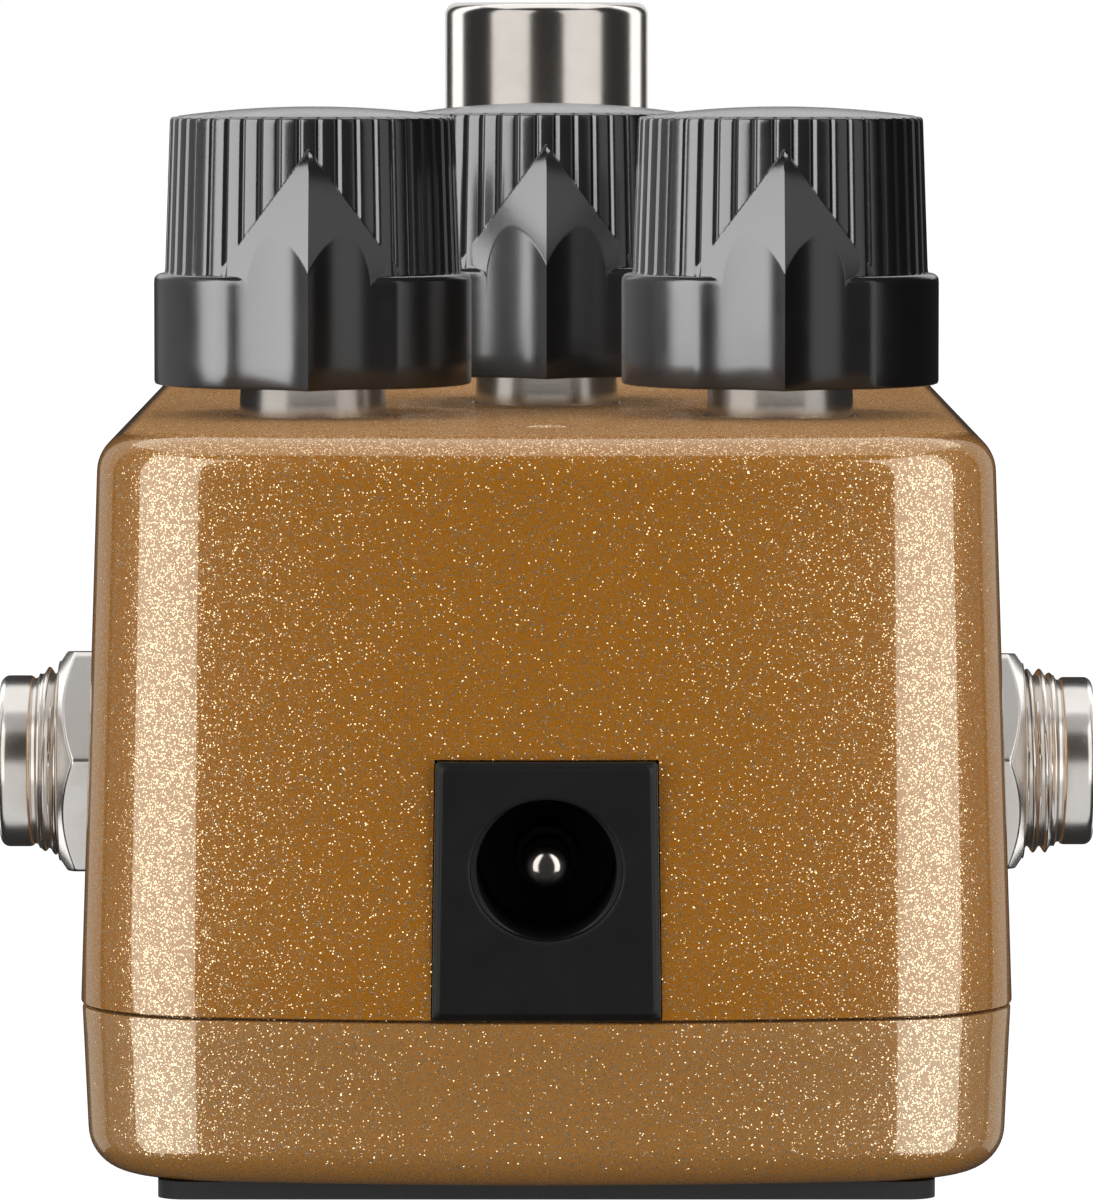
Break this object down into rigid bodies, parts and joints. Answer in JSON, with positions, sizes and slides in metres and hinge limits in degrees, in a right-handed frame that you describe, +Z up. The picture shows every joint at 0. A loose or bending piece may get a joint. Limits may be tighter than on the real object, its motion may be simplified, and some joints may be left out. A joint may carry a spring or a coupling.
{
  "type": "guitar effects pedal",
  "caption": "Small guitar effects pedal in a two-part cast case, with pointer knobs on the panel, a press footswitch, side plug sockets and a power socket in the end wall.",
  "frame": {"origin": "on the surface the pedal stands on, under the middle of the case", "axes": "+Z up, +Y towards the footswitch end, -Y towards the wall with the power socket, +X to the right seen from the power socket end"},
  "size_m": [0.0517, 0.0938, 0.0532],
  "materials": {
    "case_paint": "gloss amber-brown metal flake under clear lacquer",
    "mat_rubber": "matt black",
    "zinc_steel": "bright zinc plate",
    "button_chrome": "polished, lightly handled",
    "satin_nickel": "satin nickel plate",
    "knob_plastic": "black, moulded, semi-gloss",
    "housing_plastic": "moulded",
    "socket_plastic": "black, fine grained",
    "tinned_brass": "tinned",
    "board_laminate": "solder mask",
    "chip_epoxy": "moulded epoxy",
    "capacitor_sleeve": "shrunk sleeve",
    "light_lens": "tinted clear resin"
  },
  "bodies": {
    "case": {"base_screws": "zinc_steel", "board_headers": "socket_plastic", "capacitors": "capacitor_sleeve", "chips": "chip_epoxy", "control_board": "board_laminate", "control_board_screws": "zinc_steel", "dc_centre_pin": "button_chrome", "dc_legs": "tinned_brass", "dc_socket": "socket_plastic", "footswitch_bushing": "satin_nickel", "footswitch_housing": "housing_plastic", "footswitch_lugs": "tinned_brass", "footswitch_nut": "satin_nickel", "footswitch_spring": "zinc_steel", "footswitch_washer": "satin_nickel", "header_pins": "tinned_brass", "jack_legs": "tinned_brass", "left_jack_body": "socket_plastic", "left_jack_bushing": "satin_nickel", "left_jack_nut": "satin_nickel", "left_jack_tip_spring": "tinned_brass", "left_pot_body": "housing_plastic", "left_pot_bushing": "satin_nickel", "lower_casing": "case_paint", "main_board": "board_laminate", "middle_pot_body": "housing_plastic", "middle_pot_bushing": "satin_nickel", "pot_legs": "tinned_brass", "resistors": "chip_epoxy", "right_jack_body": "socket_plastic", "right_jack_bushing": "satin_nickel", "right_jack_nut": "satin_nickel", "right_jack_tip_spring": "tinned_brass", "right_pot_body": "housing_plastic", "right_pot_bushing": "satin_nickel", "rubber_mat": "mat_rubber", "status_light": "light_lens", "status_light_legs": "tinned_brass", "switch_board": "board_laminate", "upper_casing": "case_paint"},
    "left_control": {"left_knob": "knob_plastic", "left_pot_shaft": "zinc_steel"},
    "right_control": {"right_knob": "knob_plastic", "right_pot_shaft": "zinc_steel"},
    "middle_control": {"middle_knob": "knob_plastic", "middle_pot_shaft": "zinc_steel"},
    "footswitch": {"footswitch_button": "button_chrome"}
  },
  "joints": [
    {"name": "left_knob_turn", "type": "hinge", "parent": "case", "child": "left_control", "pos_m": [-0.01085, -0.02495, 0.0442], "axis": [0, 0, 1], "range_deg": [-150, 150]},
    {"name": "right_knob_turn", "type": "hinge", "parent": "case", "child": "right_control", "pos_m": [0.01085, -0.02495, 0.0442], "axis": [0, 0, 1], "range_deg": [-150, 150]},
    {"name": "middle_knob_turn", "type": "hinge", "parent": "case", "child": "middle_control", "pos_m": [0, -0.0124, 0.0442], "axis": [0, 0, 1], "range_deg": [-150, 150]},
    {"name": "footswitch_press", "type": "slide", "parent": "case", "child": "footswitch", "axis": [0, 0, -1], "range_m": [0, 0.003], "stiffness_N_per_m": 4000, "springref_m": -0.0015, "deforming": ["footswitch_spring"]}
  ]
}
